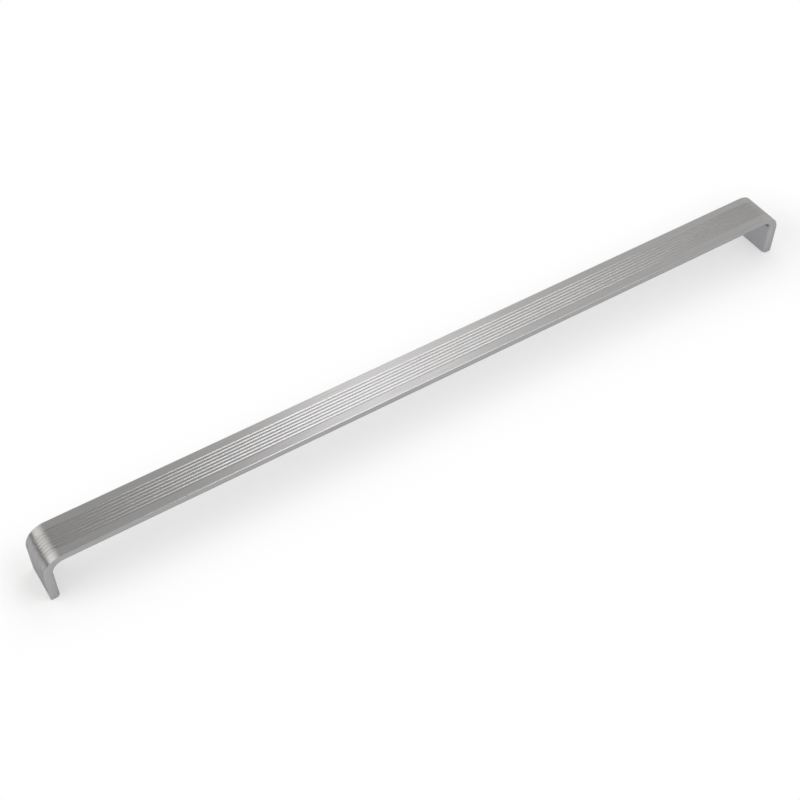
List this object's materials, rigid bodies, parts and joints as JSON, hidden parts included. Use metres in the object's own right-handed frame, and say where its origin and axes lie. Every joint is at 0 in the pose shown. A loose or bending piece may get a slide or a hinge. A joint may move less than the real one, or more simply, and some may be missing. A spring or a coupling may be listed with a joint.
{
  "type": "furniture handle",
  "caption": "Bow furniture handle: a flat metal bar with fine grooves along its outer face, bent down at both ends into legs with tapped holes for screws from behind.",
  "frame": {"origin": "middle of the footprint, on the plane of the two feet", "axes": "+X along the handle's length, +Y across the bar, +Z away from the furniture front, from the feet to the grip"},
  "size_m": [0.518, 0.0254, 0.033],
  "materials": {
    "satin_metal": "satin, finely brushed along the bar"
  },
  "bodies": {
    "root": {"handle": "satin_metal"}
  },
  "joints": []
}
